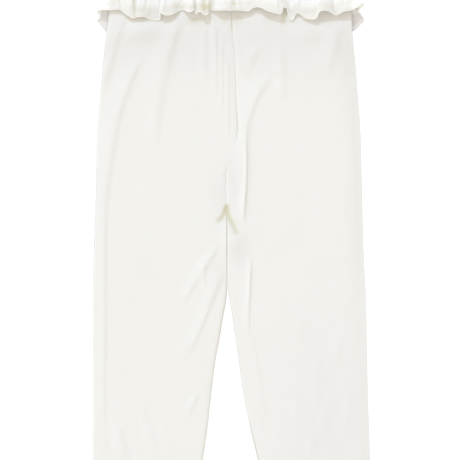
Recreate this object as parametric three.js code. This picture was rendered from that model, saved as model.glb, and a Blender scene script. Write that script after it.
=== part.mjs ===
// A child's leggings in fine ivory jersey, lying flat on their back with the front upwards.
// Four leg panels meet at a centre seam, at the sides and at the inseams. A gathered elastic band
// tops them, and a gathered frill is sewn into the band's lower seam and falls over the hips.
// +Y runs from the hems towards the waist, +X towards the wearer's left, and +Z is up. The origin
// is on the surface below the middle. Everything is in millimetres.
import * as THREE from "three";

// Driving dimensions
const LENGTH = 621.6; // from the band's top edge to the hems
const CLOTH = 1.0; // one layer of jersey
const SEAM_GAP = 0.3; // between pieces that are sewn together or lie on each other
const BAND_DEEP = 29.4; // the band's height
const BAND_THICK = 2.6; // elastic inside a fold of jersey
const BAND_RIGHT = -120.5; // the relaxed band's two ends
const BAND_LEFT = 117.5;
const HEM_DEEP = 30; // the legs' turned-up hems
const HEM_EXTRA = 0.8; // what the turned-up layer adds to the cloth
const CROTCH = 280; // from the band's top edge to the point where the four panels meet

// The side edges of the legs as they lie: distance down from the band's top edge, and where the
// wearer's right and left sides are.
const SIDES = [
  { down: 29.4, right: -121, left: 118 },
  { down: 44, right: -125.2, left: 122.4 },
  { down: 56, right: -127, left: 124.8 },
  { down: 86, right: -129.8, left: 126.6 },
  { down: 97, right: -131.8, left: 127.6 },
  { down: 118, right: -134.2, left: 129.8 },
  { down: 160, right: -137.8, left: 133.1 },
  { down: 191, right: -140.6, left: 135.4 },
  { down: 265, right: -142.2, left: 137.3 },
  { down: 317, right: -144.1, left: 138.6 },
  { down: 370, right: -145.1, left: 141.2 },
  { down: 475, right: -145.3, left: 143.4 },
  { down: 538, right: -145.6, left: 145.5 },
  { down: 580, right: -144.6, left: 145.5 },
  { down: LENGTH, right: -142, left: 144.4 },
];

// The inseams of the two legs, from the crotch to the hems.
const INSEAMS = [
  { down: CROTCH, right: -4.8, left: -4.2 },
  { down: 340, right: -4.8, left: -4 },
  { down: 354, right: -4.7, left: -3.4 },
  { down: 370, right: -5.8, left: -1.3 },
  { down: 391, right: -9.5, left: 2.2 },
  { down: 412, right: -13, left: 5.1 },
  { down: 433, right: -17, left: 8.2 },
  { down: 475, right: -22.2, left: 14.4 },
  { down: 506, right: -25.6, left: 20.9 },
  { down: 527, right: -28.7, left: 26 },
  { down: 580, right: -36.4, left: 38 },
  { down: LENGTH, right: -41, left: 44 },
];

// The centre seams above the crotch. The front one lies in a slight curve.
const CENTRE_FRONT = [
  { down: BAND_DEEP, x: -0.3 },
  { down: 76, x: 0.4 },
  { down: 118, x: 4.5 },
  { down: 160, x: 5.5 },
  { down: 192, x: 6.6 },
  { down: 208, x: 3.8 },
  { down: 223, x: -1.6 },
  { down: 236, x: -5 },
  { down: 259, x: -5.5 },
  { down: CROTCH, x: -4.5 },
];
const CENTRE_BACK = [
  { down: BAND_DEEP, x: -1.5 },
  { down: CROTCH, x: -4.5 },
];

// How high the undersides of the panels lie: the back over the frill that is under it, and the
// front loosely on the back.
const BACK_LIES = [
  { down: BAND_DEEP, high: 1.4 },
  { down: 44, high: 2.8 },
  { down: 89, high: 2.8 },
  { down: 125, high: 0 },
  { down: LENGTH, high: 0 },
];
const FRONT_LIES = [
  { down: BAND_DEEP, high: 3.2 },
  { down: 46, high: 4.8 },
  { down: 70, high: 5.3 },
  { down: 110, high: 4.8 },
  { down: 160, high: 4.2 },
  { down: 262, high: 4.3 },
  { down: 304, high: 4.3 },
  { down: 350, high: 3.4 },
  { down: 480, high: 2.8 },
  { down: 590, high: 2.9 },
  { down: LENGTH, high: 2.9 },
];
const SIDE_ROUND = 4.5; // the rounding of the front where it turns down at a side or an inseam
const SIDE_CLEAR = 3; // how far beyond the side the frill passes it

// Creases of the front, each from one end to the other with a sideways bow. `wide` is half their
// width, and `rise` is below 0 for a trough and above 0 for a ridge.
const CREASES = [
  { x: -112, down: 60, toX: -130, toDown: 156, bow: 2, wide: 4.5, rise: -1.5 },
  { x: -121, down: 62, toX: -134, toDown: 140, bow: 0, wide: 4, rise: 0.8 },
  { x: -95, down: 112, toX: -128, toDown: 238, bow: -4, wide: 4.5, rise: -1.4 },
  { x: -127, down: 222, toX: -133, toDown: 480, bow: 2, wide: 3.5, rise: -0.8 },
  { x: -50, down: 60, toX: -79, toDown: 204, bow: -2, wide: 5.5, rise: -1.7 },
  { x: -64, down: 58, toX: -80, toDown: 130, bow: 0, wide: 6, rise: 0.8 },
  { x: -112, down: 94, toX: -74, toDown: 97, bow: 0, wide: 6, rise: -1.3 },
  { x: -42, down: 88, toX: -26, toDown: 90, bow: 0, wide: 5, rise: -0.9 },
  { x: -18, down: 60, toX: -19, toDown: 142, bow: 0, wide: 3, rise: -1.3 },
  { x: -10, down: 100, toX: -12, toDown: 198, bow: 0, wide: 2.5, rise: -0.8 },
  { x: 47, down: 108, toX: 16, toDown: 218, bow: 3, wide: 4.5, rise: -2.2 },
  { x: 17, down: 214, toX: 13.5, toDown: 280, bow: -1, wide: 2.5, rise: -1.8 },
  { x: 54, down: 80, toX: 54, toDown: 172, bow: 0, wide: 4, rise: -0.9 },
  { x: 72, down: 92, toX: 97, toDown: 94, bow: 0, wide: 7, rise: -0.9 },
  { x: 114, down: 66, toX: 105, toDown: 140, bow: 0, wide: 6, rise: -1.4 },
  { x: 127, down: 150, toX: 133, toDown: 316, bow: 0, wide: 4.5, rise: -0.7 },
  { x: 3.5, down: 212, toX: 4.5, toDown: 276, bow: 0, wide: 6, rise: 1.1 },
  { x: -5, down: 266, toX: 9, toDown: 306, bow: 1, wide: 3, rise: -3 },
  { x: -4, down: 268, toX: -19, toDown: 294, bow: 0, wide: 3, rise: -2.2 },
  { x: -16, down: 286, toX: -26, toDown: 342, bow: 0, wide: 4.5, rise: -1.3 },
  { x: 0, down: 324, toX: 20, toDown: 324, bow: 0, wide: 8, rise: -1.2 },
  { x: 20.5, down: 318, toX: 18.5, toDown: 392, bow: 0, wide: 2.6, rise: -1.2 },
  { x: 20, down: 376, toX: 40, toDown: 500, bow: 3, wide: 4.5, rise: -1 },
  { x: -25, down: 326, toX: -54, toDown: 380, bow: 0, wide: 3.5, rise: -1.2 },
  { x: -8, down: 344, toX: -48, toDown: 438, bow: -4, wide: 3.5, rise: -1.4 },
  { x: -22, down: 460, toX: -46, toDown: 494, bow: 0, wide: 4, rise: -0.7 },
  { x: -128, down: 498, toX: -104, toDown: 536, bow: 0, wide: 5, rise: -0.7 },
  { x: 112, down: 496, toX: 96, toDown: 560, bow: 0, wide: 7, rise: -0.7 },
];

// The frill's lower edge, fold by fold, from the slit at the centre front round the wearer's left
// side, under the back, round the right side and back to the slit: where each hill, dip and tip
// of the edge is, and how high over the surface it stands.
const FRILL_EDGE = [
  { x: 1.8, down: 66, high: 13.1 },
  { x: 8.1, down: 66.1, high: 12.2 },
  { x: 13.3, down: 66.4, high: 10.7 },
  { x: 18.2, down: 66.6, high: 10.1 },
  { x: 21.3, down: 64.2, high: 10.1 },
  { x: 26.6, down: 62.4, high: 10.6 },
  { x: 33.1, down: 64.2, high: 11.8 },
  { x: 38.4, down: 67, high: 12.1 },
  { x: 43.6, down: 68.2, high: 12.1 },
  { x: 47.8, down: 69.1, high: 12.2 },
  { x: 51.1, down: 69.3, high: 12.7 },
  { x: 52.8, down: 66.2, high: 12.8 },
  { x: 55.7, down: 64.5, high: 12.2 },
  { x: 57.3, down: 68.1, high: 10.9 },
  { x: 59, down: 72.3, high: 9.1 },
  { x: 62.8, down: 75.2, high: 8 },
  { x: 66.4, down: 70.8, high: 8.4 },
  { x: 71.6, down: 69.1, high: 8.6 },
  { x: 76.9, down: 72.3, high: 9.1 },
  { x: 84.3, down: 74.6, high: 10.1 },
  { x: 88.6, down: 73.1, high: 11.1 },
  { x: 91.3, down: 68.5, high: 12.8 },
  { x: 94.7, down: 66.8, high: 14 },
  { x: 100, down: 66.8, high: 13.8 },
  { x: 105.3, down: 69, high: 11.8 },
  { x: 110.7, down: 70.8, high: 9.9 },
  { x: 117.4, down: 67.3, high: 11.5 },
  { x: 125.8, down: 65.8, high: 11.8 },
  { x: 131.5, down: 63.1, high: 11.5 },
  { x: 137, down: 59.5, high: 10.9 },
  { x: 138.6, down: 60.9, high: 9.4 },
  { x: 137.5, down: 65.2, high: 7.2 },
  { x: 138.1, down: 69.9, high: 5.2 },
  { x: 139.9, down: 75, high: 3.4 },
  { x: 134.9, down: 81.5, high: 2 },
  { x: 127.1, down: 87.2, high: 1.1 },
  { x: 119, down: 84, high: 2 },
  { x: 109, down: 87, high: 0.9 },
  { x: 96, down: 82, high: 2 },
  { x: 84, down: 86, high: 0.9 },
  { x: 70, down: 81, high: 2 },
  { x: 57, down: 85, high: 0.9 },
  { x: 42, down: 82, high: 2 },
  { x: 29, down: 86, high: 0.9 },
  { x: 15, down: 81, high: 2 },
  { x: 1, down: 85, high: 0.9 },
  { x: -14, down: 82, high: 2 },
  { x: -28, down: 86, high: 0.9 },
  { x: -42, down: 81, high: 2 },
  { x: -56, down: 85, high: 0.9 },
  { x: -70, down: 82, high: 2 },
  { x: -84, down: 86, high: 0.9 },
  { x: -98, down: 81, high: 2 },
  { x: -111, down: 86, high: 0.9 },
  { x: -121, down: 84, high: 2 },
  { x: -130.3, down: 87.7, high: 1.1 },
  { x: -136.5, down: 82, high: 2 },
  { x: -140.9, down: 76.4, high: 3.4 },
  { x: -139.5, down: 71.8, high: 5.2 },
  { x: -140.6, down: 68.5, high: 7 },
  { x: -139.6, down: 66.5, high: 8.7 },
  { x: -136.8, down: 65.4, high: 9.8 },
  { x: -133.2, down: 65.3, high: 9.6 },
  { x: -129.1, down: 65.5, high: 9 },
  { x: -122.8, down: 65.2, high: 9 },
  { x: -116.7, down: 65, high: 9.2 },
  { x: -113.5, down: 67, high: 9.4 },
  { x: -108.1, down: 71.3, high: 9.6 },
  { x: -105, down: 73.1, high: 9.6 },
  { x: -102.2, down: 73.8, high: 9.9 },
  { x: -99.5, down: 73, high: 10.4 },
  { x: -95.5, down: 72.6, high: 10.4 },
  { x: -91, down: 72.5, high: 10.1 },
  { x: -88.3, down: 73.5, high: 8.8 },
  { x: -85.2, down: 74.8, high: 7.7 },
  { x: -79.9, down: 75.6, high: 7.5 },
  { x: -75.1, down: 75.4, high: 7.9 },
  { x: -74.4, down: 71.5, high: 9.6 },
  { x: -76, down: 68.2, high: 11.8 },
  { x: -72.4, down: 70, high: 12.7 },
  { x: -67.5, down: 71.3, high: 11.8 },
  { x: -62.2, down: 70.5, high: 11.1 },
  { x: -55.8, down: 66.7, high: 8.7 },
  { x: -51.6, down: 64.6, high: 7.5 },
  { x: -48.9, down: 66.3, high: 8.9 },
  { x: -46.1, down: 68.1, high: 10.9 },
  { x: -42.7, down: 68.2, high: 12.5 },
  { x: -39.5, down: 66.7, high: 13.5 },
  { x: -39, down: 64.9, high: 12.5 },
  { x: -39.7, down: 64.1, high: 11.2 },
  { x: -38.6, down: 66.3, high: 10.2 },
  { x: -36.7, down: 69.2, high: 10.4 },
  { x: -34.6, down: 67.3, high: 11.5 },
  { x: -31.4, down: 66.9, high: 12.7 },
  { x: -27.8, down: 69.6, high: 13.2 },
  { x: -24.7, down: 70, high: 12.8 },
  { x: -22.9, down: 66.5, high: 11.6 },
  { x: -23.1, down: 63.1, high: 10.3 },
  { x: -21, down: 64.4, high: 8.6 },
  { x: -18.7, down: 65.6, high: 8.4 },
  { x: -15.3, down: 66, high: 10.4 },
  { x: -11.8, down: 66.3, high: 11.8 },
  { x: -6.5, down: 66.1, high: 12.2 },
  { x: -1.3, down: 65.9, high: 12.5 },
];
const LEFT_TURN = 31; // the rows of FRILL_EDGE at which the edge turns under, at either side
const RIGHT_TURN = 58;
const FRILL_TOP = { right: -122.8, left: 119.8, over: 4.9, under: 0.5, slit: 0.6 };
const FRILL_ARCH = 2.2; // how much the frill bulges between its seam and its edge
const GATHERS = 26; // fine gathers of the frill's seam, on the front and again on the back
const GATHER_DEEP = 0.5;
const PUCKERS = 24; // puckers of the elastic band, on the front and again on the back
const PUCKER_DEEP = 0.6;

// How finely the walls are divided
const LEG_COLUMNS = 14;
const BACK_COLUMNS = 6;
const FRILL_STEPS = { over: 2, turning: 4, under: 2 }; // between two rows of FRILL_EDGE
const FRILL_ROWS = [0, 0.24, 0.52, 0.8, 1];
const BAND_STEPS = 96;
const BAND_TURN_STEPS = 4;

const IVORY = new THREE.Color(0.93, 0.915, 0.87);

const mix = (a, b, t) => a + (b - a) * t;
const clamp = (t) => Math.min(1, Math.max(0, t));
const smooth = (t) => clamp(t) ** 2 * (3 - 2 * clamp(t));
const place = (x, down, high) => new THREE.Vector3(x, LENGTH / 2 - down, high);

// The value of one column of a table, read smoothly between its rows at a distance down.
function read(table, column, down) {
  const last = table.length - 1;
  if (down <= table[0].down) return table[0][column];
  if (down >= table[last].down) return table[last][column];
  let i = 0;
  while (table[i + 1].down < down) i += 1;
  const slope = (row) => {
    const before = table[Math.max(row - 1, 0)];
    const after = table[Math.min(row + 1, last)];
    return (after[column] - before[column]) / (after.down - before.down);
  };
  const span = table[i + 1].down - table[i].down;
  const t = (down - table[i].down) / span;
  const [t2, t3] = [t * t, t * t * t];
  return (
    (2 * t3 - 3 * t2 + 1) * table[i][column] +
    (t3 - 2 * t2 + t) * span * slope(i) +
    (3 * t2 - 2 * t3) * table[i + 1][column] +
    (t3 - t2) * span * slope(i + 1)
  );
}

// A closed wall between two grids of points: faces over both, and rims along their edges. A ring
// joins its last column to its first.
function wall(upper, lower, ring = false) {
  const [rows, columns] = [upper.length, upper[0].length];
  const [end, last] = [rows - 1, columns - 1];
  const steps = ring ? columns : last;
  const points = [...upper.flat(), ...lower.flat()];
  const index = (layer, i, j) => layer * rows * columns + i * columns + (j % columns);
  const faces = [];
  const quad = (a, b, c, d) => faces.push([a, b, c], [a, c, d]);
  for (let j = 0; j < steps; j += 1) {
    for (let i = 0; i < end; i += 1) {
      quad(index(0, i, j), index(0, i + 1, j), index(0, i + 1, j + 1), index(0, i, j + 1));
      quad(index(1, i, j), index(1, i, j + 1), index(1, i + 1, j + 1), index(1, i + 1, j));
    }
    quad(index(0, 0, j), index(0, 0, j + 1), index(1, 0, j + 1), index(1, 0, j));
    quad(index(0, end, j + 1), index(0, end, j), index(1, end, j), index(1, end, j + 1));
  }
  for (let i = 0; !ring && i < end; i += 1) {
    quad(index(0, i + 1, 0), index(0, i, 0), index(1, i, 0), index(1, i + 1, 0));
    quad(index(0, i, last), index(0, i + 1, last), index(1, i + 1, last), index(1, i, last));
  }
  const volume = faces.reduce((sum, [a, b, c]) => {
    const normal = points[b].clone().cross(points[c]);
    return sum + points[a].dot(normal);
  }, 0);
  if (volume < 0) faces.forEach((face) => face.reverse());
  const geometry = new THREE.BufferGeometry().setFromPoints(points);
  geometry.setIndex(faces.flat());
  geometry.computeVertexNormals();
  return geometry;
}

function piece(name, geometry) {
  const material = new THREE.MeshStandardMaterial({ color: IVORY, roughness: 0.9, metalness: 0 });
  const mesh = new THREE.Mesh(geometry, material);
  mesh.name = name;
  return mesh;
}

// Leg panels. Each runs from a centre seam or inseam out to a side.
const sideEdge = (leg, down) => read(SIDES, leg, down);

function innerEdge(leg, centre, down) {
  const gap = (leg === "right" ? -SEAM_GAP : SEAM_GAP) / 2;
  return down < CROTCH ? read(centre, "x", down) + gap : read(INSEAMS, leg, down);
}

const clothAt = (down) => CLOTH + (down > LENGTH - HEM_DEEP ? HEM_EXTRA : 0);
const backUnderside = (down) => Math.max(0, read(BACK_LIES, "high", down));

function creases(x, down) {
  let sum = 0;
  for (const c of CREASES) {
    const [dx, dd] = [c.toX - c.x, c.toDown - c.down];
    const long = Math.hypot(dx, dd);
    const t = ((x - c.x) * dx + (down - c.down) * dd) / long ** 2;
    const aside = ((x - c.x) * dd - (down - c.down) * dx) / long + c.bow * 4 * t * (1 - t);
    const ends = smooth(t * 4) * smooth((1 - t) * 4);
    sum += c.rise * ends * Math.exp(-((aside / c.wide) ** 2));
  }
  return sum;
}

// The underside of the front: it rests on the back at its folded edges, lies loosely between
// them, and dips a little along the centre seam.
function frontUnderside(leg, x, down) {
  const round = (far) => Math.sqrt(1 - (1 - clamp(far / SIDE_ROUND)) ** 2);
  const inner = Math.abs(x - innerEdge(leg, CENTRE_FRONT, down));
  const folded = smooth((down - CROTCH + 6) / 26);
  const seamDip = 0.6 * Math.exp(-((inner / 2.2) ** 2)) * (1 - folded);
  const over = round(Math.abs(x - sideEdge(leg, down))) * mix(1, round(inner), folded);
  const rest = backUnderside(down) + clothAt(down) + SEAM_GAP;
  const loft = read(FRONT_LIES, "high", down) - rest + creases(x, down) - seamDip;
  return rest + Math.max(0, loft) * over;
}

const frontTop = (leg, x, down) => frontUnderside(leg, x, down) + clothAt(down);

// Evenly spaced distances down, from each stop to the next in the given number of steps.
function ladder(...stops) {
  const rungs = [stops[0].down];
  for (const { down, steps } of stops.slice(1)) {
    const from = rungs[rungs.length - 1];
    for (let k = 1; k <= steps; k += 1) rungs.push(mix(from, down, k / steps));
  }
  return rungs;
}

const PANEL_TOP = BAND_DEEP + SEAM_GAP;
const HEM_STEP = [
  { down: LENGTH - HEM_DEEP, steps: 10 },
  { down: LENGTH - HEM_DEEP + 0.8, steps: 1 },
  { down: LENGTH, steps: 2 },
];
const FRONT_ROWS = ladder(
  { down: PANEL_TOP },
  { down: 130, steps: 12 },
  { down: 230, steps: 8 },
  { down: 300, steps: 8 },
  { down: 360, steps: 5 },
  ...HEM_STEP,
);
const BACK_ROWS = ladder(
  { down: PANEL_TOP },
  { down: 130, steps: 12 },
  { down: CROTCH, steps: 4 },
  { down: 370, steps: 4 },
  ...HEM_STEP,
);

function panel(name, leg, centre, rows, columns, underside) {
  const grid = (extra) =>
    rows.map((down) =>
      Array.from({ length: columns + 1 }, (_, k) => {
        const share = (1 - Math.cos((Math.PI * k) / columns)) / 2;
        const x = mix(innerEdge(leg, centre, down), sideEdge(leg, down), share);
        return place(x, down, underside(x, down) + extra * clothAt(down));
      }),
    );
  return piece(name, wall(grid(1), grid(0)));
}

const frontPanel = (leg) =>
  panel(`front_${leg}_leg`, leg, CENTRE_FRONT, FRONT_ROWS, LEG_COLUMNS, (x, down) =>
    frontUnderside(leg, x, down),
  );
const backPanel = (leg) =>
  panel(`back_${leg}_leg`, leg, CENTRE_BACK, BACK_ROWS, BACK_COLUMNS, (x, down) =>
    backUnderside(down),
  );

// The waistband: a ring of elastic in a fold of jersey, lying flat, with puckers over its outside.
function waistband() {
  const [over, under] = [1.5 * BAND_THICK + 0.5, BAND_THICK / 2];
  const turn = (over - under) / 2;
  const ring = [];
  const straight = (from, to, high, out) => {
    for (let k = 0; k <= BAND_STEPS; k += 1) {
      const pucker = (1 + Math.cos((2 * Math.PI * PUCKERS * k) / BAND_STEPS)) / 2;
      ring.push({ x: mix(from, to, k / BAND_STEPS), high, outX: 0, out, pucker });
    }
  };
  const around = (centre, side) => {
    for (let k = 1; k < BAND_TURN_STEPS; k += 1) {
      const angle = (Math.PI * k) / BAND_TURN_STEPS;
      const [sin, cos] = [side * Math.sin(angle), side * Math.cos(angle)];
      const high = under + turn + cos * turn;
      ring.push({ x: centre + sin * turn, high, outX: sin, out: cos, pucker: 0 });
    }
  };
  const inset = turn + BAND_THICK / 2;
  straight(BAND_RIGHT + inset, BAND_LEFT - inset, over, 1);
  around(BAND_LEFT - inset, 1);
  straight(BAND_LEFT - inset, BAND_RIGHT + inset, under, -1);
  around(BAND_RIGHT + inset, -1);
  const rounding = 0.7; // the band's folded top edge and its seamed lower edge are rounded
  const rows = [
    { down: 0, less: rounding },
    { down: 1, less: 0 },
    { down: BAND_DEEP - 1, less: 0 },
    { down: BAND_DEEP, less: rounding },
  ];
  const layer = (side) =>
    rows.map(({ down, less }) =>
      ring.map((p) => {
        const deep = side > 0 ? PUCKER_DEEP * p.pucker : 0;
        const reach = side * (BAND_THICK / 2) - side * less * (side > 0 ? 1 : 0) - deep;
        return place(p.x + p.outX * reach, down, p.high + p.out * reach);
      }),
    );
  return piece("waistband", wall(layer(1), layer(-1), true));
}

// The frill's seam, as a flat loop round the tops of the leg panels, by its share of the way.
function frillSeam() {
  const { right, left, over, under, slit } = FRILL_TOP;
  const turn = (over - under) / 2;
  const path = new THREE.CurvePath();
  const line = (from, to, high) =>
    path.add(new THREE.LineCurve3(place(from, PANEL_TOP, high), place(to, PANEL_TOP, high)));
  const bend = (x, side) => {
    const points = [0, 1, 2, 3, 4].map((k) => {
      const angle = (Math.PI * k) / 4;
      const high = under + turn + side * Math.cos(angle) * turn;
      return place(x + side * Math.sin(angle) * turn, PANEL_TOP, high);
    });
    path.add(new THREE.CatmullRomCurve3(points));
  };
  line(slit, left - turn, over);
  bend(left - turn, 1);
  line(left - turn, right + turn, under);
  bend(right + turn, -1);
  line(right + turn, -slit - 0.6, over);
  return path;
}

// Keeps a point of the frill clear of the legs: over the front, round the side, or under the back.
function clearOfLegs(point, upper, passing) {
  const down = LENGTH / 2 - point.y;
  const leg = point.x < read(CENTRE_FRONT, "x", down) ? "right" : "left";
  const side = sideEdge(leg, down);
  const beyond = Math.abs(point.x) - Math.abs(side);
  const clear = CLOTH / 2 + 2 * SEAM_GAP;
  const x = beyond < 0 ? point.x : side;
  const nearSide = Math.exp(-((beyond / 5) ** 2));
  const top = frontTop(leg, x, down) + clear + nearSide;
  const bottom = backUnderside(down) - clear + SEAM_GAP - 0.5 * nearSide;
  const middle = (top + bottom) / 2;
  const round = Math.sqrt(1 - clamp(beyond / SIDE_CLEAR) ** 2);
  const [least, most] = [mix(middle, top, round), mix(middle, bottom, round)];
  if (beyond < SIDE_CLEAR) {
    const moved = upper ? Math.max(point.z, least) : Math.min(point.z, most);
    point.z = mix(point.z, moved, passing);
  }
  point.z = Math.max(point.z, CLOTH / 2);
  return point;
}

function frill() {
  const edge = new THREE.CatmullRomCurve3(
    FRILL_EDGE.map((p) => place(p.x, p.down, p.high)),
    false,
    "centripetal",
  );
  const seam = frillSeam();
  const corners = FRILL_EDGE.length - 1;
  const [leftShare, rightShare] = [LEFT_TURN / corners, RIGHT_TURN / corners];
  const lengths = seam.getCurveLengths();
  const whole = lengths[4];
  const [leftSeam, rightSeam] = [
    (lengths[0] + lengths[1]) / 2 / whole,
    (lengths[2] + lengths[3]) / 2 / whole,
  ];
  const seamShare = (t) => {
    if (t < leftShare) return mix(0, leftSeam, t / leftShare);
    if (t < rightShare)
      return mix(leftSeam, rightSeam, (t - leftShare) / (rightShare - leftShare));
    return mix(rightSeam, 1, (t - rightShare) / (1 - rightShare));
  };
  const shares = [0];
  for (let row = 0; row < corners; row += 1) {
    const turning = Math.abs(row + 0.5 - LEFT_TURN) < 3 || Math.abs(row + 0.5 - RIGHT_TURN) < 3;
    const over = row < LEFT_TURN || row >= RIGHT_TURN;
    const steps = turning ? FRILL_STEPS.turning : over ? FRILL_STEPS.over : FRILL_STEPS.under;
    for (let k = 1; k <= steps; k += 1) shares.push((row + k / steps) / corners);
  }
  const middle = FRILL_ROWS.map((v) =>
    shares.map((t) => {
      const upper = t < leftShare || t > rightShare;
      const from = seam.getPointAt(clamp(seamShare(t)));
      const to = edge.getPoint(t);
      const point = from.clone().lerp(to, v);
      const lifted = upper ? smooth(v * 1.1) : v;
      point.z = mix(from.z, to.z, lifted) + (upper ? FRILL_ARCH : 0) * 4 * v * (1 - v);
      const ripple = Math.sin(4 * Math.PI * GATHERS * seamShare(t));
      if (upper) point.z += GATHER_DEEP * (1 + ripple) * (1 - v) ** 2 * smooth(v * 8);
      const fromTurn = Math.min(Math.abs(t - leftShare), Math.abs(t - rightShare)) * corners;
      return clearOfLegs(point, upper, smooth(fromTurn / 1.3));
    }),
  );
  const normalAt = (i, j) => {
    const along = middle[i][Math.min(j + 1, shares.length - 1)]
      .clone()
      .sub(middle[i][Math.max(j - 1, 0)]);
    const across = middle[Math.min(i + 1, FRILL_ROWS.length - 1)][j]
      .clone()
      .sub(middle[Math.max(i - 1, 0)][j]);
    return across.cross(along).normalize();
  };
  const layer = (side) =>
    middle.map((row, i) =>
      row.map((point, j) => {
        const moved = point.clone().addScaledVector(normalAt(i, j), (side * CLOTH) / 2);
        moved.z = Math.max(moved.z, 0);
        return moved;
      }),
    );
  return piece("frill", wall(layer(1), layer(-1)));
}

const leggings = new THREE.Group();
leggings.add(
  backPanel("right"),
  backPanel("left"),
  frontPanel("right"),
  frontPanel("left"),
  waistband(),
  frill(),
);

export default leggings;
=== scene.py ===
import bmesh
import bpy
import numpy as np
from mathutils import Matrix, Vector


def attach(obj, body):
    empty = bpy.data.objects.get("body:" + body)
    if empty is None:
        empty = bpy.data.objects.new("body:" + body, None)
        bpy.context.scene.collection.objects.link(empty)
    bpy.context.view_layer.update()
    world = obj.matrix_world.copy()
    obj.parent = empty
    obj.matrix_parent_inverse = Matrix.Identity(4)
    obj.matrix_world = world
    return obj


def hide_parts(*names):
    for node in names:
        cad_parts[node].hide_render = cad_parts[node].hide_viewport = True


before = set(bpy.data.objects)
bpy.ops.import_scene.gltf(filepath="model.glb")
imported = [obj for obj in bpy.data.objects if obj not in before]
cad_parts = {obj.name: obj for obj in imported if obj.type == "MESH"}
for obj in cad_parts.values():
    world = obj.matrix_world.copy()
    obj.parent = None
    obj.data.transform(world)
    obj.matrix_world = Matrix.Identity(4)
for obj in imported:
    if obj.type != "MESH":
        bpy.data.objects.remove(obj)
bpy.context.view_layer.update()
scene = bpy.context.scene

# Camera, straight above the hips, so that the waist and the lower legs are outside the picture.
# Its sensor is in millimetres, and the width that it sees and its distance are in metres.
SENSOR = 36
PICTURE_WIDE = 0.483
CAMERA_FAR = 1.6
camera_data = bpy.data.cameras.new("camera")
camera_data.sensor_width = SENSOR
camera_data.lens = SENSOR * CAMERA_FAR / PICTURE_WIDE
camera_data.clip_end = 20
camera = bpy.data.objects.new("camera", camera_data)
camera.location = (-0.0013, 0.0147, 1.605)
scene.collection.objects.link(camera)
scene.camera = camera

# Light: an even warm fill from all round, a cool key from beyond the waist that lets the frill
# cast its short shadows, and two wide soft lights, from the side and from beyond the hems.
scene.view_settings.view_transform = "Standard"
world = bpy.data.worlds.new("studio")
world.use_nodes = True
background = world.node_tree.nodes["Background"]
background.inputs["Color"].default_value = (1.0, 0.962, 0.872, 1)
background.inputs["Strength"].default_value = 0.722
scene.world = world


def sun(name, strength, spread, color, towards):
    """A distant light, with its spread in degrees and the direction that it shines in."""
    data = bpy.data.lights.new(name, "SUN")
    data.energy = strength
    data.angle = np.radians(spread)
    data.color = color
    light = bpy.data.objects.new(name, data)
    light.rotation_euler = Vector(towards).to_track_quat("-Z", "Y").to_euler()
    scene.collection.objects.link(light)


sun("key", 1.5, 3, (0.58, 0.72, 1.0), (0.3, -1.0, -0.7))
sun("side", 0.58, 50, (1.0, 1.0, 1.0), (1.0, -0.35, -0.55))
sun("low_fill", 0.78, 70, (1.0, 0.955, 0.86), (-0.1, 1.0, -0.75))


# Ground: a flat white surface, just under the leggings. The camera sees it as pure white, and
# the cloth gets the light that a real white board throws back.
class Value:
    """One output of a finish's nodes. An expression on values adds its Math nodes."""

    def __init__(self, finish, socket):
        self.finish = finish
        self.socket = socket

    def __add__(self, other):
        return self.finish.maths("ADD", self, other)

    def __sub__(self, other):
        return self.finish.maths("SUBTRACT", self, other)

    def __rsub__(self, other):
        return self.finish.maths("SUBTRACT", other, self)

    def __mul__(self, other):
        return self.finish.maths("MULTIPLY", self, other)

    def __truediv__(self, other):
        return self.finish.maths("DIVIDE", self, other)

    def __rtruediv__(self, other):
        return self.finish.maths("DIVIDE", other, self)

    def __abs__(self):
        return self.finish.maths("ABSOLUTE", self)

    __radd__ = __add__
    __rmul__ = __mul__


class Finish:
    """A material, named in a maker's words, and its nodes."""

    def __init__(self, name):
        self.material = bpy.data.materials.new(name)
        self.material.use_nodes = True
        self.tree = self.material.node_tree
        self.shader = self.tree.nodes["Principled BSDF"]

    def fill(self, node, sockets):
        """Gives a node's sockets their values or links."""
        for place, value in sockets.items():
            if isinstance(value, Value):
                self.tree.links.new(value.socket, node.inputs[place])
            else:
                node.inputs[place].default_value = value

    def node(self, kind, settings, sockets, output=0):
        """Adds a node of a kind, with its settings first, and returns one of its outputs."""
        made = self.tree.nodes.new("ShaderNode" + kind)
        for setting, value in settings.items():
            setattr(made, setting, value)
        self.fill(made, sockets)
        return Value(self, made.outputs[output])

    def maths(self, operation, *terms):
        """Adds a Math node on one or two terms, each a value or a number."""
        return self.node("Math", {"operation": operation}, dict(enumerate(terms)))

    def noise(self, scale, detail):
        place = self.node("TexCoord", {}, {}, "Object")
        sockets = {"Scale": scale, "Detail": detail, "Vector": place}
        return self.node("TexNoise", {}, sockets, "Fac")

    def attribute(self, name):
        return self.node("Attribute", {"attribute_name": name}, {}, "Fac")

    def mix(self, share, color, other, blend="MIX"):
        sockets = {"A": color, "B": other, "Factor": share}
        return self.node("Mix", {"data_type": "RGBA", "blend_type": blend}, sockets, "Result")

    def mix_shaders(self, share, other):
        """Lets a share of another shader into the finish."""
        plain = Value(self, self.shader.outputs["BSDF"])
        mixed = self.node("MixShader", {}, {"Fac": share, 1: plain, 2: other})
        self.fill(self.tree.nodes["Material Output"], {"Surface": mixed})


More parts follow.
